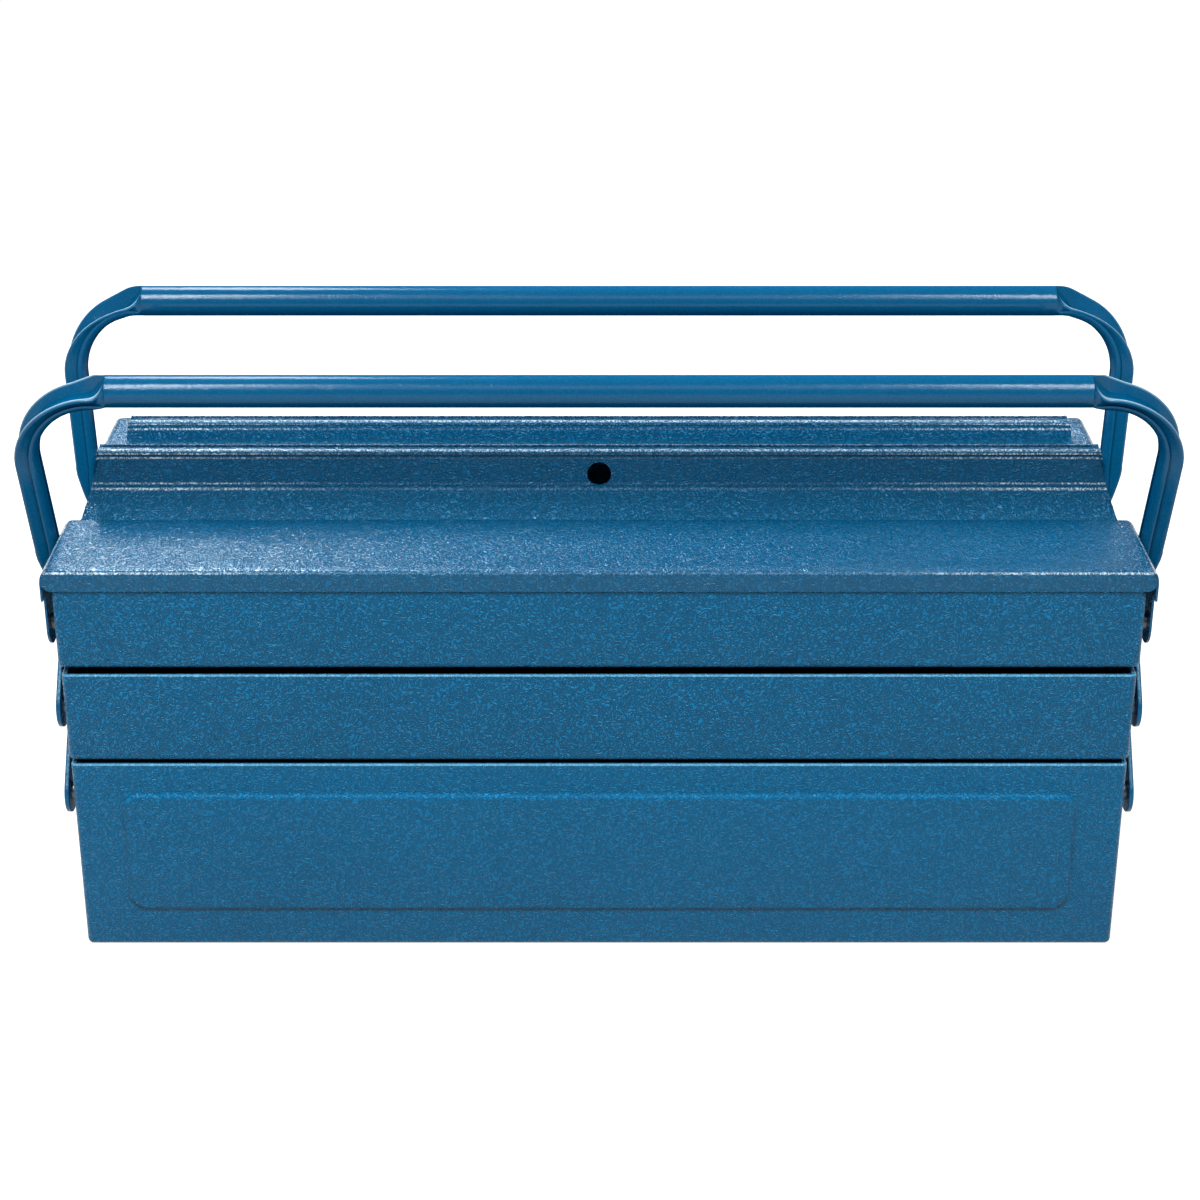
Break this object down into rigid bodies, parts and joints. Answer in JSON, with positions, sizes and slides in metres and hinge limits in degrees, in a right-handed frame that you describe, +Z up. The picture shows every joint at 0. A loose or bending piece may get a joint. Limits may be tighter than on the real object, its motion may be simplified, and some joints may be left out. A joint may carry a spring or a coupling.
{
  "type": "cantilever toolbox",
  "caption": "Blue steel cantilever toolbox with a deep base tray, two rows of trays that swing out, twin lids and two tube handles.",
  "frame": {"origin": "on the floor under the middle of the closed box", "axes": "+X along the box to its right end, -Y out of the front with the padlock hole, +Z up"},
  "size_m": [0.544, 0.2026, 0.2825],
  "materials": {
    "blue_paint": "semi-gloss with a fine wrinkle",
    "zinc_steel": "satin zinc plate"
  },
  "bodies": {
    "base": {"base_tray": "blue_paint", "base_rivets": "zinc_steel"},
    "front_long_arms": {"front_long_arm_left": "blue_paint", "front_long_arm_right": "blue_paint"},
    "front_mid": {"front_mid_tray": "blue_paint", "front_mid_divider": "blue_paint", "front_mid_rivets": "zinc_steel"},
    "front_top": {"front_top_tray": "blue_paint", "front_top_divider": "blue_paint", "front_top_rivets": "zinc_steel", "front_handle_stops": "zinc_steel"},
    "front_lower_arms": {"front_lower_arm_left": "blue_paint", "front_lower_arm_right": "blue_paint"},
    "front_upper_arms": {"front_upper_arm_left": "blue_paint", "front_upper_arm_right": "blue_paint"},
    "front_lid_body": {"front_lid": "blue_paint", "front_lid_ridge": "blue_paint"},
    "front_handle_body": {"front_handle": "blue_paint"},
    "rear_long_arms": {"rear_long_arm_left": "blue_paint", "rear_long_arm_right": "blue_paint"},
    "rear_mid": {"rear_mid_tray": "blue_paint", "rear_mid_divider": "blue_paint", "rear_mid_rivets": "zinc_steel"},
    "rear_top": {"rear_top_tray": "blue_paint", "rear_top_divider": "blue_paint", "rear_top_rivets": "zinc_steel", "rear_handle_stops": "zinc_steel"},
    "rear_lower_arms": {"rear_lower_arm_left": "blue_paint", "rear_lower_arm_right": "blue_paint"},
    "rear_upper_arms": {"rear_upper_arm_left": "blue_paint", "rear_upper_arm_right": "blue_paint"},
    "rear_lid_body": {"rear_lid": "blue_paint", "rear_lid_ridge": "blue_paint"},
    "rear_handle_body": {"rear_handle": "blue_paint"}
  },
  "joints": [
    {"name": "front_trays", "type": "hinge", "parent": "base", "child": "front_long_arms", "pos_m": [0, -0.085, 0.078], "axis": [1, 0, 0], "range_deg": [0, 79]},
    {"name": "front_mid_pivot", "type": "hinge", "parent": "front_long_arms", "child": "front_mid", "pos_m": [0, -0.048, 0.124], "axis": [1, 0, 0], "range_deg": [-79, 0]},
    {"name": "front_top_pivot", "type": "hinge", "parent": "front_long_arms", "child": "front_top", "pos_m": [0, -0.011, 0.17], "axis": [1, 0, 0], "range_deg": [-79, 0]},
    {"name": "front_lower_arm_pivot", "type": "hinge", "parent": "base", "child": "front_lower_arms", "pos_m": [0, -0.048, 0.078], "axis": [1, 0, 0], "range_deg": [0, 79]},
    {"name": "front_upper_arm_pivot", "type": "hinge", "parent": "front_top", "child": "front_upper_arms", "pos_m": [0, -0.048, 0.17], "axis": [1, 0, 0], "range_deg": [0, 79]},
    {"name": "front_lid_hinge", "type": "hinge", "parent": "front_top", "child": "front_lid_body", "pos_m": [0, -0.085, 0.168], "axis": [1, 0, 0], "range_deg": [0, 105]},
    {"name": "front_handle_pivot", "type": "hinge", "parent": "front_top", "child": "front_handle_body", "pos_m": [0, -0.048, 0.17], "axis": [-1, 0, 0], "range_deg": [0, 32]},
    {"name": "rear_trays", "type": "hinge", "parent": "base", "child": "rear_long_arms", "pos_m": [0, 0.085, 0.078], "axis": [-1, 0, 0], "range_deg": [0, 79]},
    {"name": "rear_mid_pivot", "type": "hinge", "parent": "rear_long_arms", "child": "rear_mid", "pos_m": [0, 0.048, 0.124], "axis": [-1, 0, 0], "range_deg": [-79, 0]},
    {"name": "rear_top_pivot", "type": "hinge", "parent": "rear_long_arms", "child": "rear_top", "pos_m": [0, 0.011, 0.17], "axis": [-1, 0, 0], "range_deg": [-79, 0]},
    {"name": "rear_lower_arm_pivot", "type": "hinge", "parent": "base", "child": "rear_lower_arms", "pos_m": [0, 0.048, 0.078], "axis": [-1, 0, 0], "range_deg": [0, 79]},
    {"name": "rear_upper_arm_pivot", "type": "hinge", "parent": "rear_top", "child": "rear_upper_arms", "pos_m": [0, 0.048, 0.17], "axis": [-1, 0, 0], "range_deg": [0, 79]},
    {"name": "rear_lid_hinge", "type": "hinge", "parent": "rear_top", "child": "rear_lid_body", "pos_m": [0, 0.085, 0.168], "axis": [-1, 0, 0], "range_deg": [0, 105]},
    {"name": "rear_handle_pivot", "type": "hinge", "parent": "rear_top", "child": "rear_handle_body", "pos_m": [0, 0.048, 0.17], "axis": [1, 0, 0], "range_deg": [0, 32]}
  ],
  "couplings": [
    {"joint": "front_mid_pivot", "follows": "front_trays", "ratio": -1},
    {"joint": "front_top_pivot", "follows": "front_trays", "ratio": -1},
    {"joint": "front_lower_arm_pivot", "follows": "front_trays", "ratio": 1},
    {"joint": "front_upper_arm_pivot", "follows": "front_trays", "ratio": 1},
    {"joint": "rear_mid_pivot", "follows": "rear_trays", "ratio": -1},
    {"joint": "rear_top_pivot", "follows": "rear_trays", "ratio": -1},
    {"joint": "rear_lower_arm_pivot", "follows": "rear_trays", "ratio": 1},
    {"joint": "rear_upper_arm_pivot", "follows": "rear_trays", "ratio": 1}
  ]
}
